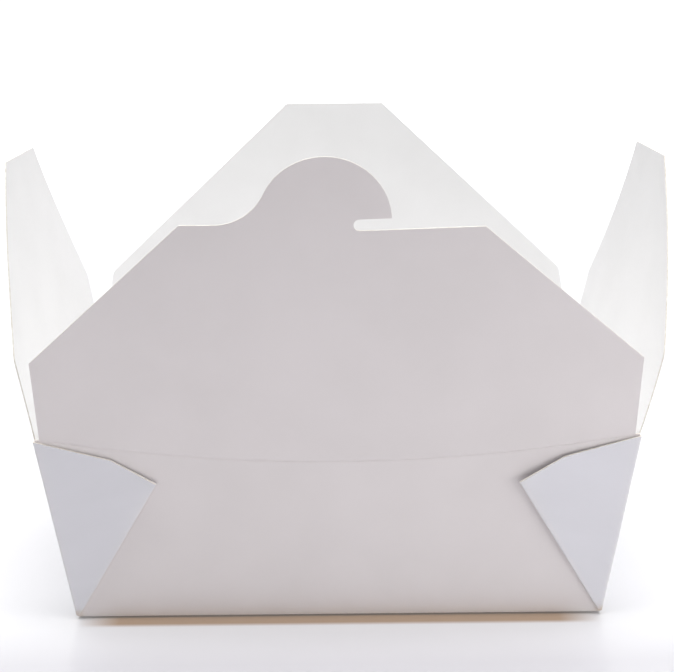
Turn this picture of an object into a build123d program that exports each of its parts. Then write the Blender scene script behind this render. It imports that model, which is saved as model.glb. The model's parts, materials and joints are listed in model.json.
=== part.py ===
from build123d import *
import os
from math import atan, cos, degrees, radians, sin, tan

# Takeout food box folded from one sheet of coated paperboard.
#
# The tray flares from its base to its rim.  Each corner of the sheet is a web that is folded in half
# and glued flat against the outside of the front or back wall.  Four lid flaps stand open on the
# creases along the rim: the front one ends in a hooked tab, which locks in a slit of the back one.
#
# Millimetres, +Z up.  The origin is the middle of the underside of the base, the front is at -Y and
# the length runs along X.

os.makedirs("parts", exist_ok=True)

# Board
board = 0.45  # thickness of the sheet
base_fold = 0.7  # outer radius of the folds round the base
corner_fold = 0.8  # outer radius of the upright folds, where a side wall turns into a web

# Tray, outside sizes
base_length = 171.0
base_width = 111.0
rim_length = 188.0
rim_width = 128.0
wall_height = 64.0
side_rim_drop = 0.8  # the side creases lie lower, so that the side flaps close under the other two

# Webs: depths below the rim, down the slope of the wall, and angles away from the corner crease
web_start = 1.2  # lowest point above the base, so that the web clears the table
web_rim_depth = 0.5  # top of the upright fold
web_bend_depth = 6.8  # bend in the cut edge
web_bend_angle = 22.1
web_tip_depth = 14.9  # tip, at the end of the fold that halves the web

# Creases of the flaps
crease_clearance = 0.225  # from the hinge line to the board on either side, past half a board
flap_inset = 2.0  # from a corner of the rim to the end of a crease

# Front flap, heights measured from its hinge line
front_lean = 11.3  # degrees outwards from upright
front_corner_height = 26.0
front_corner_inset = 1.7
front_shoulder_height = 69.9
front_shoulder_width = 86.6
front_shoulder_offset = -1.4

# Tab on the front flap: a round head with a soft neck on its left and a notch on its right
head_radius = 19.2
head_offset = -2.9
head_rise = 0.9  # centre of the head above the shoulders
neck_radius = 16.2
notch_width = 3.5
notch_depth = 9.2  # from the right edge of the head to the centre of the notch's round end
notch_drop = 0.35  # centre of the notch's round end below the shoulders
notch_slope = 1.6  # degrees

# Back flap
back_lean = 16.5
back_corner_height = 24.9
back_corner_inset = 4.9
back_flap_height = 91.9
back_tip_width = 38.5
slit_width = 1.2
slit_length = 32.0
slit_offset = -8.5
slit_tuck = 1.5  # how far past the notch the slit lies when the lid is shut

# Side flaps
left_lean = 9.1
right_lean = 9.4
side_corner_height = 25.9
side_corner_inset = 1.7
side_flap_height = 81.7
side_tip_width = 40.7

corner_round = 4.0  # outer corners of the back and side flaps
cut_round = 0.6  # all other cut corners


# Leans of the walls, slants of the corner creases and places of the hinge lines

front_flare = degrees(atan((rim_width - base_width) / 2 / wall_height))
side_flare = degrees(atan((rim_length - base_length) / 2 / wall_height))
front_slant = wall_height / cos(radians(front_flare))
side_slant = wall_height / cos(radians(side_flare))
corner_slant = degrees(atan((rim_length - base_length) / 2 / front_slant))
side_corner_slant = degrees(atan((rim_width - base_width) / 2 / side_slant))
web_half_angle = (90 - corner_slant - side_corner_slant) / 2
crease_gap = board / 2 + crease_clearance


def outward_plane(outward, reach, height, lean):
    """Plane of a panel that leans outwards: its normal faces out and its Y axis runs up the panel."""
    normal = outward * cos(radians(lean)) - Vector(0, 0, 1) * sin(radians(lean))
    origin = outward * reach + Vector(0, 0, height)
    return Plane(origin=origin, x_dir=Vector(0, 0, 1).cross(outward), z_dir=normal)


def hinge_reach(rim_size, flare):
    """Distance from the middle of the box to the middle of the board at the rim."""
    return rim_size / 2 - board / 2 / cos(radians(flare))


def inside(outside_size, flare, rise):
    """Size between the inner faces of two walls, at a rise above the level of the outside size."""
    return outside_size + 2 * rise * tan(radians(flare)) - 2 * board / cos(radians(flare))


def web_point(depth, angle):
    """Point at a depth below the rim, on a line from the foot of the left corner crease."""
    height = front_slant - depth
    return (height * tan(radians(angle - corner_slant)) - base_length / 2, height)


front = Vector(0, -1, 0)
back = Vector(0, 1, 0)
left = Vector(-1, 0, 0)
right = Vector(1, 0, 0)

long_reach = hinge_reach(rim_width, front_flare)
side_reach = hinge_reach(rim_length, side_flare)
long_hinge_height = wall_height + crease_gap
side_hinge_height = long_hinge_height - side_rim_drop

long_crease = rim_length / 2 - flap_inset
side_crease = rim_width / 2 - flap_inset


# Tray: base, four walls and the glued webs on the two long walls

with BuildPart() as tray:
    with BuildSketch(Plane.XY):
        Rectangle(base_length, base_width)
    with BuildSketch(Plane.XY.offset(wall_height)):
        Rectangle(rim_length, rim_width)
    loft()
    fillet(tray.faces().sort_by(Axis.Z)[0].edges(), radius=base_fold)

    # Inside of the tray
    with BuildSketch(Plane.XY.offset(board)):
        Rectangle(inside(base_length, side_flare, board), inside(base_width, front_flare, board))
    with BuildSketch(Plane.XY.offset(wall_height)):
        Rectangle(inside(rim_length, side_flare, 0), inside(rim_width, front_flare, 0))
    loft(mode=Mode.SUBTRACT)
    fillet(tray.edges(Select.LAST).group_by(Axis.Z)[0], radius=base_fold - board)

    # Webs, two boards thick
    for outward in (front, back):
        wall = outward_plane(outward, base_width / 2, 0, front_flare)
        with BuildSketch(wall):
            with BuildLine():
                Polyline(
                    web_point(front_slant - web_start, 0),
                    web_point(web_rim_depth, 0),
                    web_point(web_bend_depth, web_bend_angle),
                    web_point(web_tip_depth, web_half_angle),
                    close=True,
                )
            make_face()
            mirror(about=Plane.YZ)
        extrude(amount=2 * board)
        corner_x, corner_y = web_point(front_slant / 2, 0)
        corners = [wall.from_local_coords((x, corner_y, 2 * board)) for x in (corner_x, -corner_x)]
        fillet([tray.edges().sort_by_distance(point)[0] for point in corners], radius=corner_fold)

    # Lower rims of the side walls
    with BuildSketch(Plane.XY.offset(wall_height - side_rim_drop)):
        Rectangle(2 * rim_length, 2 * side_crease + flap_inset)
    extrude(amount=2 * side_rim_drop, mode=Mode.SUBTRACT)

tray.part.label = "tray"
export_step(tray.part, "parts/tray.step")


# Front flap with its hooked tab

shoulder_left = front_shoulder_offset - front_shoulder_width / 2
shoulder_right = front_shoulder_offset + front_shoulder_width / 2
front_corner = rim_length / 2 - front_corner_inset
head_height = front_shoulder_height + head_rise
notch_end = head_offset + head_radius - notch_depth
notch_height = front_shoulder_height - notch_drop
neck_reach = (head_radius**2 - head_rise**2) ** 0.5

with BuildPart() as front_flap:
    with BuildSketch(outward_plane(front, long_reach, long_hinge_height, front_lean)) as front_cut:
        with BuildLine():
            Polyline(
                (-long_crease, crease_gap),
                (-front_corner, front_corner_height),
                (shoulder_left, front_shoulder_height),
                (shoulder_right, front_shoulder_height),
                (front_corner, front_corner_height),
                (long_crease, crease_gap),
                close=True,
            )
        make_face()
        with Locations((head_offset, head_height)):
            Circle(head_radius)
        neck = (head_offset - neck_reach, front_shoulder_height)
        fillet(front_cut.vertices().sort_by_distance(neck)[0], radius=neck_radius)
        with Locations(Location((notch_end, notch_height), notch_slope)):
            Circle(notch_width / 2, mode=Mode.SUBTRACT)
            Rectangle(rim_length, notch_width, align=(Align.MIN, Align.CENTER), mode=Mode.SUBTRACT)
    extrude(amount=board / 2, both=True)

front_flap.part.label = "front_flap"
export_step(front_flap.part, "parts/front_flap.step")


# Back flap with the slit for the tab

back_corner = rim_length / 2 - back_corner_inset
slit_height = 2 * long_reach - notch_height - slit_tuck

with BuildPart() as back_flap:
    with BuildSketch(outward_plane(back, long_reach, long_hinge_height, back_lean)) as back_cut:
        with BuildLine():
            Polyline(
                (-long_crease, crease_gap),
                (-back_corner, back_corner_height),
                (-back_tip_width / 2, back_flap_height),
                (back_tip_width / 2, back_flap_height),
                (back_corner, back_corner_height),
                (long_crease, crease_gap),
                close=True,
            )
        make_face()
        fillet(back_cut.vertices().group_by(Axis.Y)[1], radius=corner_round)
        fillet(back_cut.vertices().group_by(Axis.Y)[-1], radius=cut_round)
        with Locations((-slit_offset, slit_height)):
            SlotOverall(slit_length, slit_width, mode=Mode.SUBTRACT)
    extrude(amount=board / 2, both=True)

back_flap.part.label = "back_flap"
export_step(back_flap.part, "parts/back_flap.step")


# Side flaps

side_corner = rim_width / 2 - side_corner_inset

with BuildSketch() as side_cut:
    with BuildLine():
        Polyline(
            (-side_crease, crease_gap),
            (-side_corner, side_corner_height),
            (-side_tip_width / 2, side_flap_height),
            (side_tip_width / 2, side_flap_height),
            (side_corner, side_corner_height),
            (side_crease, crease_gap),
            close=True,
        )
    make_face()
    fillet(side_cut.vertices().group_by(Axis.Y)[1], radius=corner_round)
    fillet(side_cut.vertices().group_by(Axis.Y)[-1], radius=cut_round)

with BuildPart() as left_flap:
    with BuildSketch(outward_plane(left, side_reach, side_hinge_height, left_lean)):
        add(side_cut.sketch_local)
    extrude(amount=board / 2, both=True)

left_flap.part.label = "left_flap"
export_step(left_flap.part, "parts/left_flap.step")

with BuildPart() as right_flap:
    with BuildSketch(outward_plane(right, side_reach, side_hinge_height, right_lean)):
        add(side_cut.sketch_local)
    extrude(amount=board / 2, both=True)

right_flap.part.label = "right_flap"
export_step(right_flap.part, "parts/right_flap.step")
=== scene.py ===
"""Takeout food box of white coated paperboard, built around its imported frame."""

import json
import math

import bpy
import numpy as np
from bpy.props import FloatProperty, FloatVectorProperty, PointerProperty
from mathutils import Matrix


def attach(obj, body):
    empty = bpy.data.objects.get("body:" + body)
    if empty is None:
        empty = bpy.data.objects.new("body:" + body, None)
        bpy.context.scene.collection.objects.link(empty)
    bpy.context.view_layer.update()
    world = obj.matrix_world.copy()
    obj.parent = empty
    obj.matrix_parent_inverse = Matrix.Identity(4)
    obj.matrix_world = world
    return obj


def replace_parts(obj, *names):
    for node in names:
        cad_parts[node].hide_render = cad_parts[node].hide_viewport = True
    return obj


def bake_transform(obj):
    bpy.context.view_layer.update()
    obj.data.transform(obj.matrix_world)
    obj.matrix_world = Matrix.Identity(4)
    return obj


bl_info = {
    "name": "Takeout food box",
    "version": (1, 0, 0),
    "blender": (4, 5, 0),
    "location": "3D View > Sidebar > Takeout box",
    "description": "Builds a folded takeout box of coated paperboard with four lid flaps",
    "category": "Add Mesh",
}

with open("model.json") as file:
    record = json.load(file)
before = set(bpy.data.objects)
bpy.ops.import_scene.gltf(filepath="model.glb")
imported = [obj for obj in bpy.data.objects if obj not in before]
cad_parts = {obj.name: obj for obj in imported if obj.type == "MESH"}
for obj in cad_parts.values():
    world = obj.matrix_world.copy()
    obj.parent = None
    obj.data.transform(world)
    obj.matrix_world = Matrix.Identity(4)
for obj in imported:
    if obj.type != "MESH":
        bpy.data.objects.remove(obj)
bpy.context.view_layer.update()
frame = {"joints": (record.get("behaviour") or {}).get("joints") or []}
hinges = {joint["name"]: joint["pos_m"] for joint in frame["joints"]}

MM = 0.001
WHITE = (1.0, 1.0, 1.0, 1.0)
COLOUR = {"subtype": "COLOR", "size": 4, "min": 0, "max": 1}

# Leans of the open flaps, in degrees
FRONT_LEAN = 11.3
BACK_LEAN = 16.5
LEFT_LEAN = 9.1
RIGHT_LEAN = 9.4

# Creases, in millimetres: their half lengths, the heights of the rim and of the hinge lines, the
# distance of the long hinge lines from the middle, and how far each crease bends up and down
LONG_CREASE = 92.0
SIDE_CREASE = 62.0
RIM_HEIGHT = 64.0
LONG_HINGE = 64.45
SIDE_HINGE = 63.65
LONG_REACH = 63.773
FRONT_ZONE = 1.5
CREASE_ZONE = 0.45

# Arched score on the front: radius, sag, and heights above it of the rows that draw its groove
SCORE_RADIUS = 508.0
SCORE_SAG = 8.4
SCORE_ROWS = np.array((0.0, 0.12, 0.25, 0.4, 0.55, 0.7, 0.85, 1.05, 1.3, 1.7))

# Front panel, in its own plane: x from the middle and height above the hinge line
FRONT_CORNER = (92.3, 26.0)
SHOULDER = 69.9
LEFT_SHOULDER_X = -44.7
RIGHT_SHOULDER_X = 41.9
HEAD_CENTRE = (-2.9, 70.8)
HEAD_RADIUS = 19.2
NECK_RADIUS = 16.2
NOTCH_DEPTH = 9.2
NOTCH_DROP = 0.35
NOTCH_HALF = 1.75
NOTCH_SLOPE = 1.6

# Back panel and side panels: rounded corner, half width of the tip, and height
BACK_CORNER = (89.1, 24.9)
BACK_TIP = (19.25, 91.9)
SIDE_CORNER = (62.3, 25.9)
SIDE_TIP = (20.35, 81.7)
CORNER_ROUND = 4.0
TIP_ROUND = 0.6
SLIT_ENDS = (-7.5, 24.5)
SLIT_HALF = 0.6
SLIT_TUCK = 1.5

# Webs, in the plane of the long wall: its height and the slant of its corner crease, where the web
# starts, its depths below the rim and degrees away from the crease, and the outer radii of the folds
WALL_SLANT = 64.562
CORNER_SLANT = 7.5
WEB_START = 1.2
WEB_RIM_DEPTH = 0.5
WEB_BEND = (6.8, 22.1)
WEB_TIP = (14.9, 37.4)
CORNER_FOLD = 0.8
BASE_FOLD = 0.7

# Spacing of points along an outline, in millimetres
SPACING = 2.2

# Strength of the surroundings: its slope along X, Y and Z, and its middle
WORLD_SLOPE = (0.052, 0.348, 0.052)
WORLD_MIDDLE = 0.574


class TakeoutBoxSizes(bpy.types.PropertyGroup):
    """Sizes of the sheet and of the tray."""

    board: FloatProperty(
        name="Board", description="Thickness of the paperboard", default=0.00045, unit="LENGTH"
    )
    base_length: FloatProperty(
        name="Base length", description="Length of the base, outside", default=0.171, unit="LENGTH"
    )
    base_width: FloatProperty(
        name="Base width", description="Width of the base, outside", default=0.111, unit="LENGTH"
    )
    wall_height: FloatProperty(
        name="Wall height", description="Height of the front and back walls", default=0.064,
        unit="LENGTH",
    )
    flare: FloatProperty(
        name="Flare", description="How far each wall leans outwards over its height",
        default=0.0085, unit="LENGTH",
    )
    score_depth: FloatProperty(
        name="Score depth", description="Depth of the pressed score line", default=0.00012,
        unit="LENGTH",
    )
    left_lift: FloatProperty(
        name="Left web lift", description="How far the left webs' tips stand off the wall",
        default=0.0009, unit="LENGTH",
    )
    right_lift: FloatProperty(
        name="Right web lift", description="How far the right webs' tips stand off the wall",
        default=0.0019, unit="LENGTH",
    )


class TakeoutBoxColours(bpy.types.PropertyGroup):
    """Colours of the board, its cut edge and the stage."""

    # Painted shade: the coating's white is darker than the lining's, for the outside faces in shade; its
    # warm tint is partly the coating's own and partly painted warm bounce light
    coating: FloatVectorProperty(
        name="Coating", description="White coated face of the board",
        default=(0.768, 0.722, 0.722, 1), **COLOUR,
    )
    # Painted light: a cooler white for the side sheets and their webs, standing in for the cool light
    # they catch from the sides
    coating_painted_cool_light: FloatVectorProperty(
        name="Cool coating", description="Cooler white of the side sheets",
        default=(0.736, 0.727, 0.768, 1), **COLOUR,
    )
    # Painted light: the lining's white is brighter than the coating's, for the inside faces in light
    lining: FloatVectorProperty(
        name="Lining", description="White lined inside of the board",
        default=(0.853, 0.848, 0.848, 1), **COLOUR,
    )
    coating_dull: FloatVectorProperty(
        name="Mottle", description="What the duller patches of the board keep of its colour",
        default=(0.965, 0.965, 0.963, 1), **COLOUR,
    )
    worn_fold: FloatVectorProperty(
        name="Worn fold", description="Coating stretched over a fold",
        default=(0.80, 0.78, 0.77, 1), **COLOUR,
    )
    scuff: FloatVectorProperty(
        name="Scuff", description="Fibre showing at the crushed base corners",
        default=(0.52, 0.38, 0.25, 1), **COLOUR,
    )
    cut_edge: FloatVectorProperty(
        name="Cut edge", description="Cream fibre at the cut edges",
        default=(0.84, 0.81, 0.76, 1), **COLOUR,
    )
    cut_edge_dark: FloatVectorProperty(
        name="Cut edge shade", description="Darker fibre at the cut edges",
        default=(0.70, 0.65, 0.585, 1), **COLOUR,
    )
    floor: FloatVectorProperty(
        name="Floor", description="Pale floor",
        default=(0.60, 0.594, 0.623, 1), **COLOUR,
    )
    # Painted shadow: a warm contact shadow band on the floor along the box's front and back
    contact: FloatVectorProperty(
        name="Contact", description="Warm contact shade on the floor along the box",
        default=(0.35, 0.22, 0.125, 1), **COLOUR,
    )
    # Painted light: a paler floor just in front of and behind the box, lifting the shade the box casts
    # there
    floor_painted_light: FloatVectorProperty(
        name="Floor by the box", description="Paler floor just in front of and behind the box",
        default=(0.70, 0.70, 0.72, 1), **COLOUR,
    )


def sizes():
    return bpy.context.scene.takeout_box_sizes


def colours():
    return bpy.context.scene.takeout_box_colours


# Node groups shared by the materials


def group_sockets(group, inputs, outputs):
    """Adds named input and output sockets to a node group and returns its two end nodes."""
    for name, kind, value in inputs:
        socket = group.interface.new_socket(name=name, in_out="INPUT", socket_type=kind)
        if value is not None:
            socket.default_value = value
    for name, kind in outputs:
        group.interface.new_socket(name=name, in_out="OUTPUT", socket_type=kind)
    return group.nodes.new("NodeGroupInput"), group.nodes.new("NodeGroupOutput")


def plug(socket, value):
    """Links another socket to a socket, or sets the socket's own value."""
    if isinstance(value, bpy.types.NodeSocket):
        socket.id_data.links.new(value, socket)
    else:
        socket.default_value = value


def map_range(nodes, source, low, high, kind="LINEAR"):
    node = nodes.new("ShaderNodeMapRange")
    node.clamp = True
    node.interpolation_type = kind
    node.inputs["From Min"].default_value = low
    node.inputs["From Max"].default_value = high
    plug(node.inputs["Value"], source)
    return node.outputs["Result"]


def maths(nodes, operation, first, second):
    node = nodes.new("ShaderNodeMath")
    node.operation = operation
    plug(node.inputs[0], first)
    plug(node.inputs[1], second)
    return node.outputs["Value"]


def noise(nodes, vector, scale, detail, roughness=0.5):
    node = nodes.new("ShaderNodeTexNoise")
    node.inputs["Scale"].default_value = scale
    node.inputs["Detail"].default_value = detail
    node.inputs["Roughness"].default_value = roughness
    plug(node.inputs["Vector"], vector)
    return node.outputs["Fac"]


def board_grain_group():
    """Fibre and mottle of paperboard: fine fibres that run along the sheet, and broad soft patches."""
    group = bpy.data.node_groups.new("board_grain", "ShaderNodeTree")
    nodes = group.nodes
    start, end = group_sockets(
        group,
        (("Place", "NodeSocketVector", None),),
        (("Height", "NodeSocketFloat"), ("Mottle", "NodeSocketFloat"), ("Sheen", "NodeSocketFloat")),
    )
    stretch = nodes.new("ShaderNodeMapping")
    stretch.inputs["Scale"].default_value = (0.35, 1.0, 1.0)
    plug(stretch.inputs["Vector"], start.outputs["Place"])
    fibre = noise(nodes, stretch.outputs["Vector"], 1900.0, 3.0, 0.6)
    tooth = noise(nodes, start.outputs["Place"], 520.0, 2.0)
    patch = noise(nodes, start.outputs["Place"], 42.0, 3.0)
    broad = noise(nodes, start.outputs["Place"], 9.0, 1.0)
    height = maths(nodes, "ADD", maths(nodes, "MULTIPLY", fibre, 0.55), tooth)
    plug(end.inputs["Height"], height)
    patches = maths(nodes, "MULTIPLY", patch, 0.6)
    mixed = maths(nodes, "ADD", patches, maths(nodes, "MULTIPLY", broad, 0.4))
    plug(end.inputs["Mottle"], map_range(nodes, mixed, 0.38, 0.62))
    plug(end.inputs["Sheen"], map_range(nodes, tooth, 0.3, 0.7))
    return group


def fold_wear_group():
    """Wear mask: the fold attribute broken up by noise, so that a fold is rubbed unevenly."""
    group = bpy.data.node_groups.new("fold_wear", "ShaderNodeTree")
    nodes = group.nodes
    start, end = group_sockets(
        group,
        (("Place", "NodeSocketVector", None), ("Fold", "NodeSocketFloat", 0.0)),
        (("Mask", "NodeSocketFloat"),),
    )
    rub = map_range(nodes, noise(nodes, start.outputs["Place"], 300.0, 4.0), 0.35, 0.65)
    share = maths(nodes, "ADD", maths(nodes, "MULTIPLY", rub, 0.6), 0.4)
    plug(end.inputs["Mask"], maths(nodes, "MULTIPLY", start.outputs["Fold"], share))
    return group


def attribute(nodes, name, output):
    node = nodes.new("ShaderNodeAttribute")
    node.attribute_name = name
    return node.outputs[output]


def use_group(nodes, name, place):
    node = nodes.new("ShaderNodeGroup")
    node.node_tree = bpy.data.node_groups[name]
    plug(node.inputs["Place"], place)
    return node


def mix_colour(nodes, mask, first, second, blend="MIX"):
    node = nodes.new("ShaderNodeMix")
    node.data_type = "RGBA"
    node.blend_type = blend
    for socket, value in ((node.inputs[0], mask), (node.inputs[6], first), (node.inputs[7], second)):
        plug(socket, value)
    return node.outputs[2]


def add_bump(nodes, shader, height, strength, distance):
    bump = nodes.new("ShaderNodeBump")
    bump.inputs["Strength"].default_value = strength
    bump.inputs["Distance"].default_value = distance
    plug(bump.inputs["Height"], height)
    plug(shader.inputs["Normal"], bump.outputs["Normal"])


def new_material(name):
    material = bpy.data.materials.new(name)
    material.use_nodes = True
    return material, material.node_tree.nodes


def faint_mottle(nodes, mask, colour):
    """The colour, multiplied by the mottle's tone in the duller patches."""
    tone = mix_colour(nodes, mask, colours().coating_dull, WHITE)
    return mix_colour(nodes, 1.0, colour, tone, "MULTIPLY")


def finish_board(material, nodes, grain, wear, bruise, white, gloss):
    """Wear on the folds and scuffs at the corners, over the mottled white, with its sheen and tooth."""
    palette = colours()
    shader = nodes["Principled BSDF"]
    mottled = faint_mottle(nodes, grain.outputs["Mottle"], white)
    folded = mix_colour(nodes, wear.outputs["Mask"], mottled, palette.worn_fold)
    scuffed = mix_colour(nodes, bruise.outputs["Mask"], folded, palette.scuff)
    plug(shader.inputs["Base Color"], scuffed)
    sheen = maths(nodes, "MULTIPLY", grain.outputs["Sheen"], 0.1)
    plug(shader.inputs["Roughness"], maths(nodes, "ADD", sheen, gloss))
    shader.inputs["Specular IOR Level"].default_value = 0.35
    add_bump(nodes, shader, grain.outputs["Height"], 0.10, 0.00004)
    return material


def worn_groups(nodes):
    """Grain, fold wear and corner scuffs at a point of the sheet."""
    place = attribute(nodes, "sheet_place", "Vector")
    grain = use_group(nodes, "board_grain", place)
    wear = use_group(nodes, "fold_wear", place)
    plug(wear.inputs["Fold"], attribute(nodes, "fold", "Fac"))
    bruise = use_group(nodes, "fold_wear", place)
    plug(bruise.inputs["Fold"], attribute(nodes, "scuff", "Fac"))
    return grain, wear, bruise


def coated_board_material():
    """White clay coating outside: soft satin, faint mottle, rubbed folds and crushed corners. Its white
    is darker than the lining's as painted shade of the outside faces, and the side sheets take a painted
    cool light tint.
    """
    palette = colours()
    material, nodes = new_material("coated_board")
    grain, wear, bruise = worn_groups(nodes)
    # Painted light: the side sheets take the cooler white as a painted cool light tint
    painted_cool_light = attribute(nodes, "painted_cool_light", "Fac")
    white = mix_colour(nodes, painted_cool_light, palette.coating, palette.coating_painted_cool_light)
    return finish_board(material, nodes, grain, wear, bruise, white, 0.44)


def lined_board_material():
    """Greaseproof lining inside: a neutral white, a little glossier than the coating, and brighter than
    it as painted light on the inside faces.
    """
    material, nodes = new_material("lined_board")
    grain, wear, bruise = worn_groups(nodes)
    return finish_board(material, nodes, grain, wear, bruise, colours().lining, 0.36)


def cut_edge_material():
    """Cut edge of the board: matt cream fibre between the two coated faces."""
    palette = colours()
    material, nodes = new_material("cut_edge")
    shader = nodes["Principled BSDF"]
    place = attribute(nodes, "sheet_place", "Vector")
    grain = use_group(nodes, "board_grain", place)
    cream = mix_colour(nodes, grain.outputs["Sheen"], palette.cut_edge_dark, palette.cut_edge)
    plug(shader.inputs["Base Color"], cream)
    shader.inputs["Roughness"].default_value = 0.85
    add_bump(nodes, shader, grain.outputs["Height"], 0.35, 0.00006)
    return material


def board_materials():
    """The coated side, the lined side and the cut edge of the board, made once."""
    if "coated_board" not in bpy.data.materials:
        board_grain_group()
        fold_wear_group()
        coated_board_material()
        lined_board_material()
        cut_edge_material()
    return [bpy.data.materials[name] for name in ("coated_board", "lined_board", "cut_edge")]


# Sheets


def grid_faces(rows, columns, first=0, hole=None):
    """Quads of a grid stored row by row; hole gives rows and columns whose faces are left out."""
    index = np.arange(rows * columns).reshape(rows, columns) + first
    quads = np.stack((index[:-1, :-1], index[:-1, 1:], index[1:, 1:], index[1:, :-1]), axis=-1)
    keep = np.ones(quads.shape[:2], bool)
    if hole is not None:
        keep[hole[0]:hole[1], hole[2]:hole[3]] = False
    return quads[keep].reshape(-1, 4)


def build_sheet(name, patches, painted_cool_light=0.0):
    """One sheet from grid patches of (points, place, fold, scuff, hole, flip), given its thickness.

    fold and scuff say how far the coating is rubbed and crushed, and painted_cool_light how far its
    white takes a painted cool light tint.

    Patches that share an edge are joined by merging their doubles.  The thickness is laid half to
    each side of the middle surface, and every cut edge gets the cut edge material.
    """
    points, places = (np.concatenate([patch[k].reshape(-1, 3) for patch in patches]) for k in (0, 1))
    folds, scuffs = (
        np.concatenate([np.broadcast_to(patch[k], patch[0].shape[:2]).ravel() for patch in patches])
        for k in (2, 3)
    )
    faces, first = [], 0
    for grid, *_, hole, flip in patches:
        rows, columns = grid.shape[:2]
        quads = grid_faces(rows, columns, first, hole)
        faces.append(quads[:, ::-1] if flip else quads)
        first += rows * columns
    faces = np.concatenate(faces)

    # Merge doubles on a grid of one micrometre, and drop faces that have lost a corner
    _, keep, merged = np.unique(
        np.round(points * 1e6).astype(np.int64), axis=0, return_index=True, return_inverse=True
    )
    faces = merged.ravel()[faces]
    ordered = np.sort(faces, axis=1)
    doubled = (ordered[:, 1:] == ordered[:, :-1]).sum(axis=1)
    quads = faces[doubled == 0]
    corners = faces[doubled == 1]
    following = np.roll(corners, -1, axis=1)
    distinct = corners != following
    triangles = corners[distinct].reshape(-1, 3)

    # Points inside a hole belong to no face, and are left out
    used = np.unique(np.concatenate((quads.ravel(), triangles.ravel())))
    renumbered = np.zeros(len(keep), int)
    renumbered[used] = np.arange(len(used))
    keep, quads, triangles = keep[used], renumbered[quads], renumbered[triangles]

    mesh = bpy.data.meshes.new(name)
    mesh.from_pydata(points[keep], [], quads.tolist() + triangles.tolist())
    painted_cool_lights = np.full(len(points), painted_cool_light)
    for label, values in (("fold", folds), ("scuff", scuffs), ("painted_cool_light", painted_cool_lights)):
        layer = mesh.attributes.new(label, "FLOAT", "POINT")
        layer.data.foreach_set("value", values[keep].astype(np.float32))
    layer = mesh.attributes.new("sheet_place", "FLOAT_VECTOR", "POINT")
    layer.data.foreach_set("vector", places[keep].astype(np.float32).ravel())
    mesh.polygons.foreach_set("use_smooth", np.ones(len(mesh.polygons), bool))
    mesh.update()

    piece = bpy.data.objects.new(name, mesh)
    bpy.context.scene.collection.objects.link(piece)
    for material in board_materials():
        mesh.materials.append(material)
    board = piece.modifiers.new("board", "SOLIDIFY")
    board.thickness = sizes().board
    board.offset = 0.0
    board.material_offset = 1
    board.material_offset_rim = 2
    edge = piece.modifiers.new("cut_edge", "BEVEL")
    edge.width = 0.00004
    edge.segments = 1
    edge.limit_method = "ANGLE"
    edge.angle_limit = math.radians(50)
    edge.harden_normals = True
    return piece


def bell(value, width):
    """Bell curve: 1 at 0, and 1/e at the width."""
    return np.exp(-((value / width) ** 2))


def on_sheet(x, y, sheet):
    """Flat place on the sheet in metres, with a number that sets each sheet's pattern apart."""
    return np.stack((x * MM, y * MM, np.full_like(x, sheet)), axis=-1)


def thickness():
    """Thickness of the board, in millimetres."""
    return sizes().board / MM


def wall_slope():
    """How far a wall leans outwards for each unit of height."""
    return sizes().flare / sizes().wall_height


def half_base():
    """Half the length and half the width of the base, in millimetres."""
    return sizes().base_length / MM / 2, sizes().base_width / MM / 2


def steps(*levels):
    """Joined linspaces: (start, (stop, count), (stop, count), ...)."""
    runs, start = [np.array([levels[0]])], levels[0]
    for stop, count in levels[1:]:
        runs.append(np.linspace(start, stop, count + 1)[1:])
        start = stop
    return np.concatenate(runs)


def along(points, spacing):
    """Points resampled along a polyline, every corner kept, about one spacing apart."""
    points = np.asarray(points, float)
    lengths = np.hypot(*np.diff(points, axis=0).T)
    counts = np.maximum(1, np.ceil(lengths / spacing).astype(int))
    runs = [points[:1]]
    for a, b, count in zip(points[:-1], points[1:], counts):
        runs.append(a + (b - a) * np.linspace(0, 1, count + 1)[1:, None])
    return np.concatenate(runs)


def arc(centre, radius, start, stop, count):
    """Points of a circular arc, angles in degrees."""
    angle = np.radians(np.linspace(start, stop, count))
    return np.stack((centre[0] + radius * np.cos(angle), centre[1] + radius * np.sin(angle)), axis=1)


def rounded(before, corner, after, radius, count=7):
    """Points of a fillet at a corner: a circle that touches both sides."""
    before, corner, after = (np.asarray(p, float) for p in (before, corner, after))
    u = (before - corner) / np.linalg.norm(before - corner)
    v = (after - corner) / np.linalg.norm(after - corner)
    half = math.acos(float(np.clip(u @ v, -1, 1))) / 2
    middle = corner + (u + v) / np.linalg.norm(u + v) * radius / math.sin(half)
    first = corner + u * radius / math.tan(half) - middle
    last = corner + v * radius / math.tan(half) - middle
    t = np.linspace(0, 1, count)[:, None]
    turn = math.pi - 2 * half
    return middle + (first * np.sin((1 - t) * turn) + last * np.sin(t * turn)) / math.sin(turn)


def score_height(x):
    """Height of the arched score on the front wall, in millimetres, at a distance x from its middle."""
    rise = SCORE_RADIUS - np.sqrt(np.maximum(SCORE_RADIUS**2 - x**2, 0.0))
    return np.minimum(RIM_HEIGHT - SCORE_SAG + rise, RIM_HEIGHT)


def front_bulge(x, height):
    """Shift of the front board towards the front, in millimetres, above and at its arched score.

    Above the score the board already leans as the flap does, so the shift grows with the height
    above it; the groove is a bell curve across the score, with a small bead above it.
    """
    over = height - score_height(x)
    slope = math.tan(math.radians(FRONT_LEAN)) - wall_slope()
    depth = sizes().score_depth / MM
    groove = 0.4 * depth * bell(over - 0.85, 0.4) - depth * bell(over, 0.32)
    fade = np.clip((LONG_CREASE - np.abs(x)) / 6.0, 0, 1)
    return np.maximum(over, 0.0) * slope + groove * fade


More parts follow.
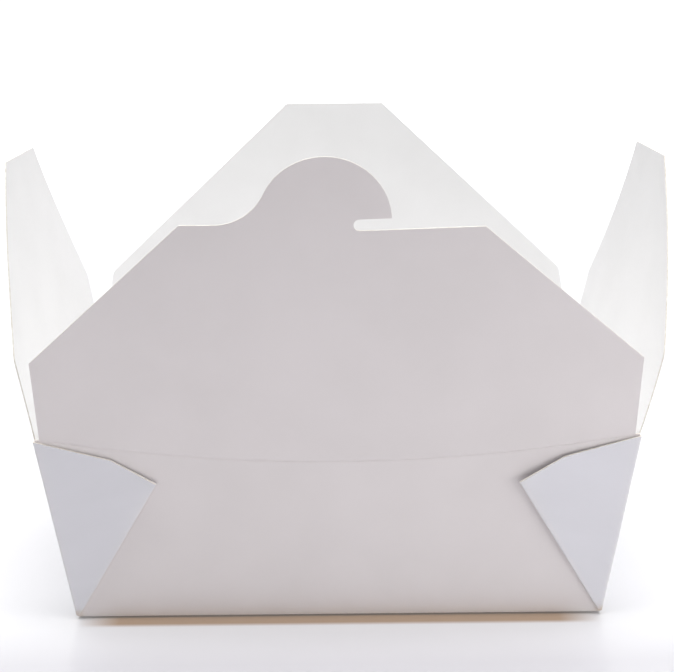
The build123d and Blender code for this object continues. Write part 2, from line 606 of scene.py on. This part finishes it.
def panel_points(outward, hinge, lean, across, up, off):
    """Points of a leaning panel: hinge + across + up along the lean + off along the outward normal."""
    outward = np.array(outward, float)
    sideways = np.cross((0.0, 0.0, 1.0), outward)
    angle = math.radians(lean)
    rise = outward * math.sin(angle) + np.array((0, 0, math.cos(angle)))
    normal = outward * math.cos(angle) - np.array((0, 0, math.sin(angle)))
    return (
        np.array(hinge)
        + across[..., None] * MM * sideways
        + up[..., None] * MM * rise
        + off[..., None] * MM * normal
    )


def ruled(bottom_x, bottom_y, top, levels):
    """Surface ruled between a bottom line and a top outline: levels run from 0 to 1."""
    share = levels[:, None]
    return bottom_x * (1 - share) + top[:, 0] * share, bottom_y * (1 - share) + top[:, 1] * share


def strip_heights(x, hinge_height, below, bulge):
    """Heights of the rows of wall under a crease, in millimetres; below holds the straight rows.

    With a bulge the rows start at the arched score, run close together over its groove, and spread
    evenly up to the first straight row.
    """
    flare = math.atan(wall_slope())
    straight = hinge_height + np.broadcast_to(below[:, None], (len(below), len(x))) * math.cos(flare)
    if not bulge:
        return straight
    base = straight[:1]
    score = np.minimum(score_height(x), base)
    near = np.minimum(1.0, (base - score) / SCORE_ROWS[-1]) * SCORE_ROWS[:, None]
    share = np.linspace(0, 1, 8)[1:-1, None]
    far = (score + near[-1:]) * (1 - share) + base * share
    return np.concatenate((score + near, far, straight))


def flap_piece(name, joint, outward, lean, zone, outline, curl, bulge=None, extra=(), cut=None):
    """A lid flap: a strip of wall under the hinge, the crease zone, and the panel ruled to its outline.

    The crease bends from zone below the hinge line to zone above it.  curl(across, up) is how far
    the panel bends off its plane, and bulge(across, height) shifts the strip outwards to meet an
    arched score.  extra holds grids beyond the outline, and cut the rows and the hole of a slit.
    """
    hinge = hinges[joint]
    hinge_height = hinge[2] / MM
    facing = np.array(outward, float)
    flare = math.atan(wall_slope())
    sheet = 0.31 * len(name)
    crease = LONG_CREASE if abs(outward[1]) > 0.5 else SIDE_CREASE
    x = outline[:, 0] * crease / max(abs(outline[0, 0]), abs(outline[-1, 0]))
    x = np.clip(x, -crease, crease)

    def lid_points(across, up):
        """Panel points: the leaning plane, its curl, and the shift carried up from the hinge line."""
        spot = panel_points(outward, hinge, lean, across, up, curl(across, up))
        if bulge:
            foot = np.clip(across, -LONG_CREASE, LONG_CREASE)
            shift = bulge(foot, np.full_like(foot, hinge_height))
            spot = spot + shift[..., None] * MM * facing
        return spot

    below = steps(-zone, (0.0, 6))[:-1]
    lower_height = strip_heights(x, hinge_height, below, bulge)
    lower_up = (lower_height - hinge_height) / math.cos(flare)
    lower_x = np.broadcast_to(x, lower_up.shape)
    lower = panel_points(outward, hinge, math.degrees(flare), lower_x, lower_up, 0.0 * lower_up)
    if bulge:
        lower = lower + bulge(lower_x, lower_height)[..., None] * MM * facing

    above = steps(0.0, (zone, 6))
    upper_up = np.broadcast_to(above[:, None], (len(above), len(x)))
    upper_x = np.broadcast_to(x, upper_up.shape)
    levels = cut["levels"] if cut else np.linspace(0, 1, 27)
    body_x, body_up = ruled(x, np.full_like(x, zone), outline, levels)
    if cut:
        body_x, body_up = cut["shape"](body_x, body_up, outline)
    all_x = np.concatenate((upper_x, body_x[1:]))
    all_up = np.concatenate((upper_up, body_up[1:]))

    points = np.concatenate((lower, lid_points(all_x, all_up)))
    flat_up = np.concatenate((lower_up, all_up))
    place = on_sheet(np.concatenate((lower_x, all_x)), flat_up, sheet)
    fold = bell(flat_up, 0.5) * (0.0 if bulge else 0.8)
    hole = None
    if cut:
        skipped = len(lower_up) + len(above) - 1
        row_start, row_stop, first, last = cut["hole"]
        hole = (skipped + row_start, skipped + row_stop, first, last)
    patches = [(points, place, fold, 0.0, hole, False)]
    for patch_x, patch_up in extra:
        spot = lid_points(patch_x, patch_up)
        patches.append((spot, on_sheet(patch_x, patch_up, sheet), 0.0, 0.0, None, False))

    piece = build_sheet(name + "_board", patches)
    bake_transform(piece)
    return piece


def notch_line(notch, slope):
    """Height of the notch's upper edge at x: a straight line from the end of its half circle."""
    end = arc(notch, NOTCH_HALF, 180, 90 + NOTCH_SLOPE, 7)[-1]
    return lambda x: end[1] + (x - end[0]) * math.tan(slope)


def front_outline():
    """Top outline of the front panel below its head, left to right, and the head's two patches.

    The left neck is an arc that touches the shoulder and the head; the notch ends in a half circle.
    """
    centre = np.array(HEAD_CENTRE)
    slope = math.radians(NOTCH_SLOPE)
    notch = np.array((HEAD_CENTRE[0] + HEAD_RADIUS - NOTCH_DEPTH, SHOULDER - NOTCH_DROP))
    corner_x, corner_up = FRONT_CORNER

    rise = SHOULDER + NECK_RADIUS - centre[1]
    run = math.sqrt((HEAD_RADIUS + NECK_RADIUS) ** 2 - rise**2)
    neck_centre = np.array((centre[0] - run, SHOULDER + NECK_RADIUS))
    touch = math.degrees(math.atan2(rise, -run))

    # The right shoulder lies where the notch's lower edge meets the right-hand slope
    right_slope = (SHOULDER - corner_up) / (corner_x - RIGHT_SHOULDER_X)
    foot = notch + NOTCH_HALF * np.array((math.sin(slope), -math.cos(slope)))
    cross = (corner_up + right_slope * corner_x - foot[1] + foot[0] * math.tan(slope)) / (
        math.tan(slope) + right_slope
    )
    right_shoulder = (cross, foot[1] + (cross - foot[0]) * math.tan(slope))

    # The half circle is split at its leftmost point, so that the outline always runs to the right
    bottom_arc = arc(notch, NOTCH_HALF, 180, 270 + NOTCH_SLOPE, 9)
    top_arc = arc(notch, NOTCH_HALF, 180, 90 + NOTCH_SLOPE, 7)
    start = np.array((neck_centre[0], SHOULDER))
    base = np.linspace(start, bottom_arc[0], 25)
    left = along(((-corner_x, corner_up), (LEFT_SHOULDER_X, SHOULDER), tuple(start)), SPACING)[:-1]
    right = along((tuple(bottom_arc[-1]), right_shoulder, FRONT_CORNER), SPACING)[1:]
    outline = np.concatenate((left, base, bottom_arc[1:], right))

    # Stem: between the shoulder level and the line of the notch's upper edge
    top_line = notch_line(notch, slope)
    angles = np.radians(np.linspace(270, 270 + 30, 200))
    neck_x = neck_centre[0] + NECK_RADIUS * np.cos(angles)
    neck_y = neck_centre[1] + NECK_RADIUS * np.sin(angles)
    meet = math.degrees(np.interp(0.0, neck_y - top_line(neck_x), angles))
    stem_left = arc(neck_centre, NECK_RADIUS, 270, meet, 7)
    share = np.linspace(0, 1, 25)
    stem = stem_left[:, None] + (top_arc - stem_left)[:, None] * share[None, :, None]

    # Head: rows from the notch's upper edge to the crown, each ending on the outline
    turns = np.linspace(-10, 20, 300)
    rim_x = centre[0] + HEAD_RADIUS * np.cos(np.radians(turns))
    rim_y = HEAD_RADIUS * np.sin(np.radians(turns)) + centre[1]
    corner_angle = float(np.interp(0.0, rim_y - top_line(rim_x), turns))
    corner = arc(centre, HEAD_RADIUS, corner_angle, corner_angle, 1)[0]
    left_side = np.concatenate((
        arc(neck_centre, NECK_RADIUS, meet, touch + 180, 14),
        arc(centre, HEAD_RADIUS, touch, 90.0, 19)[1:],
    ))
    right_side = arc(centre, HEAD_RADIUS, corner_angle, 90.0, len(left_side))
    edge = np.concatenate((stem[-1], np.linspace(stem[-1][-1], corner, 12)[1:]))
    spread = np.concatenate(([0.0], np.cumsum(np.hypot(*np.diff(edge, axis=0).T))))
    spread = spread / spread[-1]
    crown = left_side[:, None] + (right_side - left_side)[:, None] * spread[None, :, None]
    crown[0] = edge
    return outline, (stem, crown)


def front_curl(across, up):
    """The front panel stays almost flat: a slight outward bow of its middle."""
    along_up = np.sin(np.clip(up / 100.0, 0, 1) * math.pi) ** 2
    return 0.3 * along_up * np.cos(np.clip(across / 94, -1, 1) * math.pi / 2)


def bowed(amount, height, power):
    """Outward bow of a panel: t^power (1 - t), t from crease to tip, scaled to peak at the amount."""
    peak = power / (power + 1.0)
    scale = amount / (peak**power * (1 - peak))

    def bow(across, up):
        t = np.clip(up / height, 0, 1)
        return scale * t**power * (1 - t)

    return bow


def tapered_outline(corner, tip, foot_x):
    """Outline of a tapering panel: rounded outer corners, straight slopes and a straight tip."""
    foot, corner, tip = (-foot_x, CREASE_ZONE), (-corner[0], corner[1]), (-tip[0], tip[1])
    left = rounded(foot, corner, tip, CORNER_ROUND)
    small = rounded(tuple(left[-1]), tip, (-tip[0], tip[1]), TIP_ROUND, 4)
    slope = along((tuple(left[-1]), tuple(small[0])), SPACING)[1:]
    half = np.concatenate((left, slope, small[1:]))
    mirrored = half[::-1] * np.array((-1.0, 1.0))
    middle = along((tuple(half[-1]), tuple(mirrored[0])), SPACING)[1:-1]
    return np.concatenate((half, middle, mirrored))


def front_flap():
    """The front panel, with the stem and the head of its hooked tab."""
    outline, (stem, crown) = front_outline()
    extra = [(stem[..., 0], stem[..., 1]), (crown[..., 0], crown[..., 1])]
    return flap_piece(
        "front_flap", "front_crease", (0, -1, 0), FRONT_LEAN, FRONT_ZONE, outline, front_curl,
        front_bulge, extra,
    )


def back_flap():
    """The back panel, with the slit as a hole in the grid whose ends are half circles.

    Four bands of rows bound the slit at one height over its whole length.  The two columns nearest
    its ends carry the half circles.
    """
    outline = tapered_outline(BACK_CORNER, BACK_TIP, LONG_CREASE)
    left_end, right_end = SLIT_ENDS
    slit = 2 * LONG_REACH - (SHOULDER - NOTCH_DROP) - SLIT_TUCK
    ends = [int(np.argmin(np.abs(outline[:, 0] - end))) for end in SLIT_ENDS]
    first, last = min(ends), max(ends)
    known = np.array((0.0, 0.6, 0.64, 1.0))
    levels = steps(known[0], (known[1], 16), (known[2], 4), (known[3], 10))
    low_row, high_row = 16, 20

    def shape(x, up, top):
        """The ruled grid, with its rows bent to follow the slit and its columns gathered at it."""
        x, up = x.copy(), up.copy()
        full = top[:, 1]
        scale = np.minimum(1.0, full / 82.0)
        stops = np.stack((up[0], (slit - SLIT_HALF) * scale, (slit + SLIT_HALF) * scale, full))
        for row, level in enumerate(levels):
            which = min(int(np.searchsorted(known, level, side="right")) - 1, 2)
            share = (level - known[which]) / (known[which + 1] - known[which])
            up[row] = stops[which] * (1 - share) + stops[which + 1] * share
        rows = slice(low_row, high_row + 1)
        angle = np.linspace(-math.pi / 2, math.pi / 2, 5)
        up[rows, first:last + 1] = slit + SLIT_HALF * np.sin(angle)[:, None]
        x[rows, first:last + 1] = np.linspace(
            left_end + SLIT_HALF, right_end - SLIT_HALF, last - first + 1
        )
        x[rows, first] = left_end + SLIT_HALF - SLIT_HALF * np.cos(angle)
        x[rows, last] = right_end - SLIT_HALF + SLIT_HALF * np.cos(angle)
        return x, up

    cut = {"levels": levels, "shape": shape, "hole": (low_row, high_row, first, last)}
    return flap_piece(
        "back_flap", "back_crease", (0, 1, 0), BACK_LEAN, CREASE_ZONE, outline,
        bowed(0.3, BACK_TIP[1], 1), cut=cut,
    )


def side_flap(side, outward, lean, amount, power):
    """A side panel, bowed outwards by the amount."""
    outline = tapered_outline(SIDE_CORNER, SIDE_TIP, SIDE_CREASE)
    return flap_piece(
        side + "_flap", side + "_crease", outward, lean, CREASE_ZONE, outline,
        bowed(amount, SIDE_TIP[1], power),
    )


# Tray


def wall_reach(half, height):
    """Distance of a wall's middle surface from the box's middle at a height, in millimetres."""
    slope = wall_slope()
    return half + slope * height - thickness() / 2 * math.hypot(1, slope)


def base_fold(half):
    """Fold between the base and a wall: (reach, height) along an arc of the fold's mid radius."""
    thick = thickness()
    radius = BASE_FOLD - thick / 2
    turn = math.pi / 2 - math.atan(wall_slope())
    begin = wall_reach(half, thick / 2) - radius * math.tan(turn / 2)
    angle = np.linspace(0, turn, 7)
    return begin + radius * np.sin(angle), thick / 2 + radius * (1 - np.cos(angle))


def base_wear(height):
    """Rubbing of the fold round the base: a bell curve up the wall."""
    return bell(height - 0.4, 0.6) * 0.7


def long_wall(side, across):
    """Front wall (side -1) or back wall (side 1) with its base fold, as one patch.

    The rows rise to the crease, which is the arched score at the front.  Half the length at a height
    is that of the inside of the side walls, so the wall ends lie just inside them.
    """
    front = side < 0
    thick, slope = thickness(), wall_slope()
    half_length, half_width = half_base()
    gap = 0.05
    fine_band = 1.3
    side_start = base_fold(half_length)[0][0]
    reach, rise = base_fold(half_width)

    x_rim = across * (half_length + slope * RIM_HEIGHT - thick - gap)
    zone = FRONT_ZONE if front else CREASE_ZONE
    crease = LONG_HINGE - zone * math.cos(math.atan(slope))
    if front:
        crease = np.minimum(score_height(x_rim), crease)
    top = np.where(np.abs(x_rim) <= LONG_CREASE, crease, RIM_HEIGHT)
    foot = rise[-1]
    levels = [foot + (top - fine_band - foot) * share for share in np.linspace(0, 1, 27)[1:]]
    levels += [top - fine_band + fine_band * share for share in np.linspace(0, 1, 11)[1:]]
    height = np.array(levels)
    half = half_length + slope * height - thick - gap
    wall_x = across * half
    off = front_bulge(wall_x, height) if front else 0.0

    grown = (rise - rise[0]) / (height[0, 0] - rise[0])
    fold_x = across * (side_start + (half[0, 0] - side_start) * grown)[:, None]
    x = np.concatenate((fold_x, wall_x))
    y = np.concatenate((
        np.broadcast_to(reach[:, None], fold_x.shape), wall_reach(half_width, height) + off
    ))
    z = np.concatenate((np.broadcast_to(rise[:, None], fold_x.shape), height))
    points = np.stack((x, side * y, z), axis=-1) * MM
    place = on_sheet(x, z + 60.0 * side, 0.003)
    corner = bell(np.abs(x) - half_length, 2.2) * bell(z, 1.6)
    return points, place, base_wear(z), corner * 0.8, None, not front


def tray_strip():
    """Front wall, base and back wall as one folded strip: a profile in Y and Z carried along X."""
    half_length, half_width = half_base()
    side_start = base_fold(half_length)[0][0]
    # The columns keep close together at the ends of the creases
    crease, beside = 0.9787, 0.9767
    across = steps(-1.0, (-crease, 3), (-beside, 1), (beside, 120), (crease, 1), (1.0, 3))
    patches = [long_wall(side, across) for side in (-1, 1)]

    rows = np.linspace(-1, 1, 41)
    base_x = np.broadcast_to(across * side_start, (len(rows), len(across)))
    base_y = np.broadcast_to((rows * base_fold(half_width)[0][0])[:, None], base_x.shape)
    points = np.stack((base_x, base_y, np.full_like(base_x, thickness() / 2)), axis=-1) * MM
    patches.append((points, on_sheet(base_x, base_y, 0.007), 0.0, 0.0, None, True))
    return patches


def web_top(angle):
    """Height of the web's cut edge at an angle from the corner crease, along two straight runs."""
    slant = math.radians(CORNER_SLANT)

    def corner_point(depth, turn):
        height = WALL_SLANT - depth
        return np.array((height * math.tan(math.radians(turn) - slant), height))

    corners = ((WEB_RIM_DEPTH, 0.0), WEB_BEND, WEB_TIP)
    direction = np.tan(np.radians(angle) - slant)
    height = np.zeros_like(direction)
    for low, high in zip(corners, corners[1:]):
        near, far = corner_point(*low), corner_point(*high)
        run = far - near
        crossing = (near[0] * run[1] - near[1] * run[0]) / (direction * run[1] - run[0])
        chosen = (angle >= low[1] - 1e-9) & (angle <= high[1] + 1e-9)
        height = np.where(chosen, crossing, height)
    return height


def web_half(lift):
    """Half of a side sheet beyond the side wall: inner web layer, fold, outer layer, upright fold.

    In the plane of the long wall the web is polar about the foot of its corner crease: a point lies
    at height h and distance h tan(angle - slant).  Returns distance along the wall, height up it
    and distance off its outer face, in millimetres, for rows up the web and columns across it, and
    then how many columns the layer, the fold and the upright fold have.
    """
    thick = thickness()
    slant = math.radians(CORNER_SLANT)
    half_length = half_base()[0]
    rows = np.linspace(0, 1, 45)[:, None]
    radius = CORNER_FOLD - thick / 2
    turn_radius = thick / 2 + 0.015
    bend_angle, tip_angle = WEB_BEND[1], WEB_TIP[1]

    def polar(angle, off):
        height = WEB_START + (web_top(angle) - WEB_START) * rows
        distance = height * np.tan(np.radians(angle) - slant) - half_length
        raised = lift / MM * (angle / tip_angle)**1.4 * rows**1.5
        return distance, height, off + raised

    angles = steps(0.0, (bend_angle, 16), (tip_angle, 12))
    outer_off = 1.5 * thick + 0.03
    inner_off = outer_off - 2 * turn_radius
    inner = polar(angles, inner_off)
    outer = polar(angles[::-1], outer_off)
    bend = np.linspace(-math.pi / 2, math.pi / 2, 9)[1:-1]
    edge = polar(np.full_like(bend, tip_angle), (inner_off + outer_off) / 2 + turn_radius * np.sin(bend))
    edge = (edge[0] + turn_radius * np.cos(bend), edge[1], edge[2])
    run = [np.concatenate(parts, axis=1) for parts in zip(inner, edge, outer)]

    # Upright fold: a quarter turn from the web's plane to the side wall's plane
    quarter = np.linspace(0, math.pi / 2, 8)[1:]
    height = WEB_START + (web_top(np.array([0.0])) - WEB_START) * rows
    corner = -(half_length + height * math.tan(slant)) + thick / 2
    fold_x = corner + radius * (1 - np.sin(quarter))
    fold_off = outer_off - radius * (1 - np.cos(quarter))
    fold = (fold_x, height + 0 * fold_x, fold_off + 0 * fold_x)

    # The outer layer is drawn in to end where the upright fold begins
    outer_columns = slice(len(angles) + len(bend), None)
    layer = run[0][:, outer_columns]
    width = layer[:, :1] - layer[:, -1:]
    begin = corner + radius
    run[0][:, outer_columns] = begin + (layer - layer[:, -1:]) * ((layer[:, :1] - begin) / width)
    grids = [np.concatenate(parts, axis=1) for parts in zip(run, fold)]
    return grids, len(angles), len(bend), len(quarter)


def side_sheet(side, lift):
    """A side wall that runs round both upright corners into the folded webs, and down into the base."""
    flare = math.atan(wall_slope())
    half_length, half_width = half_base()
    (web_x, height, off), wide, bent, turned = web_half(lift)
    web_y = -(half_width + height * math.sin(flare) + off * math.cos(flare))
    web_z = height * math.cos(flare) - off * math.sin(flare)
    # The quarter turn ends on the side wall's own plane
    wall_x = -wall_reach(half_length, web_z)
    share = np.linspace(0, 1, turned)
    web_x[:, -turned:] = web_x[:, -turned:] * (1 - share) + wall_x[:, -turned:] * share

    rows = len(web_z)
    fill = np.linspace(-1, 1, 61)[1:-1]
    end_y, end_z = web_y[:, -1:], web_z[:, -1:]
    middle_y = -fill * end_y
    crease = SIDE_HINGE - CREASE_ZONE * math.cos(flare)
    top = np.where(np.abs(middle_y[-1:]) <= SIDE_CREASE, crease, end_z[-1])
    level = (end_z - end_z[0]) / (end_z[-1] - end_z[0])
    middle_z = end_z[0] + (top - end_z[0]) * level
    middle_x = -wall_reach(half_length, middle_z)
    x = np.concatenate((web_x, middle_x, web_x[:, ::-1]), axis=1)
    y = np.concatenate((web_y, middle_y, -web_y[:, ::-1]), axis=1)
    z = np.concatenate((web_z, middle_z, web_z[:, ::-1]), axis=1)

    # Sheet coordinate across the columns, and how near each column is to a fold
    sheet = 0.020 + 0.009 * side
    travelled = np.cumsum(np.hypot(np.diff(x), np.diff(y)), axis=1)
    along_sheet = np.concatenate((np.zeros((rows, 1)), travelled), axis=1)
    place = on_sheet(along_sheet, z, sheet)
    columns = np.arange(web_x.shape[1])
    near_fold = bell(columns - (wide + bent / 2), 4.0) + bell(columns - (len(columns) - turned / 2), 4.0)
    wear = np.concatenate((near_fold, np.zeros(len(fill)), near_fold[::-1]))
    wear = np.broadcast_to(wear * 0.8, x.shape)
    foot = bell(z, 2.6) * bell(np.abs(x) - half_length, 3.0) * bell(np.abs(y) - half_width, 3.0)
    sign = np.array((-side, 1.0, 1.0))
    points = np.stack((x, y, z), axis=-1) * MM * sign
    patches = [(points, place, wear, foot, None, side < 0)]

    # Lower strip: the base fold, up to the start of the web
    reach, rise = base_fold(half_length)
    wall_columns = slice(len(columns) - 1, len(columns) + len(fill) + 1)
    strip_y = y[0, wall_columns]
    inset = base_fold(half_width)[0][0] / np.abs(strip_y[0])
    at_fold = 0.35
    share = np.linspace(0, 1, 5)[1:, None]
    grown = np.linspace(0, at_fold, len(reach))[:, None]
    grown = np.concatenate((grown, at_fold + (1 - at_fold) * share))
    low_y = strip_y * (inset + (1 - inset) * grown)
    up_z = rise[-1] + (z[0, wall_columns] - rise[-1]) * share
    low_z = np.concatenate((np.broadcast_to(rise[:, None], (len(rise), len(strip_y))), up_z))
    fold_x = np.broadcast_to(reach[:, None], (len(reach), len(strip_y)))
    low_x = -np.concatenate((fold_x, wall_reach(half_length, up_z)))
    low_x[-1] = x[0, wall_columns]
    points = np.stack((low_x, low_y, low_z), axis=-1) * MM * sign
    corner = bell(np.abs(low_y) - half_width, 2.4)
    place = on_sheet(low_y, low_z, sheet)
    patches.append((points, place, base_wear(low_z), corner * 0.8, None, side < 0))
    return patches


# Stage


def make_area_light(name, place, target, size, power):
    """A rectangular white light turned towards its target, not seen by the camera itself."""
    light = bpy.data.lights.new(name, "AREA")
    light.shape = "RECTANGLE"
    light.size, light.size_y = size
    light.energy = power
    lamp = bpy.data.objects.new(name, light)
    bpy.context.scene.collection.objects.link(lamp)
    lamp.location = place
    lamp.visible_camera = False
    aim = np.array(target, float) - np.array(place, float)
    flat = math.hypot(aim[0], aim[1])
    lamp.rotation_euler = (math.atan2(flat, -aim[2]), 0.0, math.atan2(-aim[0], aim[1]))


def stage_camera():
    """Camera: yaw, then tilt down, then a slight roll, with a 72 mm lens."""
    camera = bpy.data.cameras.new("camera")
    camera.lens = 72.04
    camera.sensor_width = 36.0
    camera.clip_start = 0.01
    holder = bpy.data.objects.new("camera", camera)
    bpy.context.scene.collection.objects.link(holder)
    yaw, tilt, roll = (math.radians(turn) for turn in (0.0604, 90 - 14.6947, -0.6131))
    turn = Matrix.Rotation(yaw, 4, "Z") @ Matrix.Rotation(tilt, 4, "X") @ Matrix.Rotation(roll, 4, "Z")
    holder.matrix_world = Matrix.Translation((0.000695, -0.458412, 0.199667)) @ turn
    bpy.context.scene.camera = holder


def floor_colour(nodes, axes):
    """Floor colour: painted light that makes it paler close to the box, and a painted warm contact
    shadow along its front and back.
    """
    half_width, half_length = sizes().base_width / 2, sizes().base_length / 2
    away = maths(nodes, "ABSOLUTE", axes.outputs["Y"], 0.0)
    along_box = maths(nodes, "ABSOLUTE", axes.outputs["X"], 0.0)
    # Painted light: the floor is paler near the box
    close = map_range(nodes, away, half_width + 0.032, half_width + 0.008)
    beside = map_range(nodes, away, half_width + 0.0066, half_width + 0.0044)
    within = map_range(nodes, along_box, half_length - 0.001, half_length - 0.014)
    # Painted shadow: the warm contact band along the box's front and back
    contact = maths(nodes, "MULTIPLY", beside, within)
    plain = mix_colour(nodes, close, colours().floor, colours().floor_painted_light)
    return mix_colour(nodes, contact, plain, colours().contact)


def floor_glow(nodes, axes, distance):
    """Glow of the floor where it is seen: painted light behind and around the box, which leaves the
    floor just in front of it darker as painted shade, and white far away.
    """
    painted_glow_strength = 0.17
    far = map_range(nodes, distance, 0.5, 1.5)
    # Painted light: a glow behind and around the box, left out just in front of it as painted shade
    behind = map_range(nodes, axes.outputs["Y"], -0.09, -0.03, "SMOOTHSTEP")
    around = map_range(nodes, distance, 0.13, 0.32, "SMOOTHSTEP")
    beyond = maths(nodes, "MAXIMUM", behind, around)
    glow = maths(nodes, "MAXIMUM", far, maths(nodes, "MULTIPLY", beyond, painted_glow_strength))
    seen = nodes.new("ShaderNodeLightPath").outputs["Is Camera Ray"]
    return maths(nodes, "MULTIPLY", glow, seen)


def floor_material():
    """Pale floor with a faint satin sheen and a very fine tooth, which fades to white far away."""
    material, nodes = new_material("pale_floor")
    shader = nodes["Principled BSDF"]
    shader.inputs["Roughness"].default_value = 0.28
    shader.inputs["Specular IOR Level"].default_value = 0.4
    shader.inputs["Emission Color"].default_value = WHITE
    place = nodes.new("ShaderNodeTexCoord").outputs["Object"]
    add_bump(nodes, shader, noise(nodes, place, 400.0, 2.0), 0.04, 0.0001)
    distance = nodes.new("ShaderNodeVectorMath")
    distance.operation = "LENGTH"
    plug(distance.inputs[0], place)
    axes = nodes.new("ShaderNodeSeparateXYZ")
    plug(axes.inputs["Vector"], place)
    plug(shader.inputs["Base Color"], floor_colour(nodes, axes))
    glow = floor_glow(nodes, axes, distance.outputs["Value"])
    plug(shader.inputs["Emission Strength"], glow)
    return material


def stage_floor():
    """A wide flat floor, half a millimetre below the base."""
    mesh = bpy.data.meshes.new("floor")
    size, level = 6.0, -0.0005
    corners = [(-size, -size, level), (size, -size, level), (size, size, level), (-size, size, level)]
    mesh.from_pydata(corners, [], [(0, 1, 2, 3)])
    mesh.materials.append(floor_material())
    floor = bpy.data.objects.new("floor", mesh)
    bpy.context.scene.collection.objects.link(floor)


def stage_world():
    """Soft white surroundings: strength = middle + slope . direction, and plain white where seen."""
    world = bpy.data.worlds.new("studio")
    bpy.context.scene.world = world
    world.use_nodes = True
    nodes = world.node_tree.nodes
    background = nodes["Background"]
    background.inputs["Color"].default_value = WHITE
    direction = nodes.new("ShaderNodeTexCoord")
    slope = nodes.new("ShaderNodeVectorMath")
    slope.operation = "DOT_PRODUCT"
    slope.inputs[1].default_value = WORLD_SLOPE
    plug(slope.inputs[0], direction.outputs["Generated"])
    strength = maths(nodes, "ADD", slope.outputs["Value"], WORLD_MIDDLE)
    seen = nodes.new("ShaderNodeLightPath").outputs["Is Camera Ray"]
    mixed = nodes.new("ShaderNodeMix")
    mixed.inputs[3].default_value = 1.1
    plug(mixed.inputs[0], seen)
    plug(mixed.inputs[2], strength)
    plug(background.inputs["Strength"], mixed.outputs[0])


# Operators


class TAKEOUT_OT_stage(bpy.types.Operator):
    """Builds the floor, the soft light and the camera."""

    bl_idname = "takeout.stage"
    bl_label = "Stage"

    def execute(self, context):
        stage_camera()
        stage_floor()
        stage_world()
        context.scene.view_settings.view_transform = "Standard"
        make_area_light("top_light", (0.0, -0.28, 1.6), (0.0, -0.05, 0.05), (1.3, 0.5), 19.8)
        make_area_light("back_light", (0.0, 1.0, 1.1), (0.0, 0.8, 0.0), (2.6, 1.2), 13.8)
        make_area_light("side_light", (0.42, -0.30, 0.04), (0.05, -0.05, 0.03), (0.3, 0.1), 0.54)
        make_area_light("low_light", (0.0, -0.20, 0.02), (0.0, -0.06, 0.02), (0.34, 0.03), 0.042)
        return {"FINISHED"}


class TAKEOUT_OT_tray(bpy.types.Operator):
    """Builds the tray: the folded strip and the two side sheets with their webs."""

    bl_idname = "takeout.tray"
    bl_label = "Tray"

    def execute(self, context):
        strip = build_sheet("tray_strip", tray_strip())
        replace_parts(strip, "tray")
        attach(strip, "tray")
        for side, label, lift in ((-1, "left", sizes().left_lift), (1, "right", sizes().right_lift)):
            # The side sheets carry the painted cool light tint
            sheet = build_sheet(label + "_side_sheet", side_sheet(side, lift), painted_cool_light=1.0)
            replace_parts(sheet, "tray")
            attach(sheet, "tray")
        return {"FINISHED"}


class TAKEOUT_OT_front_flap(bpy.types.Operator):
    """Builds the front flap with its hooked tab."""

    bl_idname = "takeout.front_flap"
    bl_label = "Front flap"

    def execute(self, context):
        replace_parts(front_flap(), "front_flap")
        return {"FINISHED"}


class TAKEOUT_OT_back_flap(bpy.types.Operator):
    """Builds the back flap with its slit."""

    bl_idname = "takeout.back_flap"
    bl_label = "Back flap"

    def execute(self, context):
        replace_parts(back_flap(), "back_flap")
        return {"FINISHED"}


class TAKEOUT_OT_side_flaps(bpy.types.Operator):
    """Builds the two side flaps."""

    bl_idname = "takeout.side_flaps"
    bl_label = "Side flaps"

    def execute(self, context):
        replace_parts(side_flap("left", (-1, 0, 0), LEFT_LEAN, 0.8, 2), "left_flap")
        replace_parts(side_flap("right", (1, 0, 0), RIGHT_LEAN, 2.3, 1), "right_flap")
        return {"FINISHED"}


class TAKEOUT_PT_panel(bpy.types.Panel):
    """Lists the sizes, the colours and the operators of the box."""

    bl_label = "Takeout box"
    bl_idname = "TAKEOUT_PT_panel"
    bl_space_type = "VIEW_3D"
    bl_region_type = "UI"
    bl_category = "Takeout box"

    def draw(self, context):
        layout = self.layout
        for group in (context.scene.takeout_box_sizes, context.scene.takeout_box_colours):
            for name in group.__annotations__:
                layout.prop(group, name)
        for operator in OPERATORS:
            layout.operator(operator.bl_idname)


OPERATORS = (
    TAKEOUT_OT_stage,
    TAKEOUT_OT_tray,
    TAKEOUT_OT_front_flap,
    TAKEOUT_OT_back_flap,
    TAKEOUT_OT_side_flaps,
)
CLASSES = (TakeoutBoxSizes, TakeoutBoxColours, *OPERATORS, TAKEOUT_PT_panel)


def register():
    for item in CLASSES:
        bpy.utils.register_class(item)
    bpy.types.Scene.takeout_box_sizes = PointerProperty(type=TakeoutBoxSizes)
    bpy.types.Scene.takeout_box_colours = PointerProperty(type=TakeoutBoxColours)


def unregister():
    del bpy.types.Scene.takeout_box_colours
    del bpy.types.Scene.takeout_box_sizes
    for item in reversed(CLASSES):
        bpy.utils.unregister_class(item)


def main():
    register()
    bpy.ops.takeout.stage()
    bpy.ops.takeout.tray()
    bpy.ops.takeout.front_flap()
    bpy.ops.takeout.back_flap()
    bpy.ops.takeout.side_flaps()


if __name__ == "__main__":
    main()
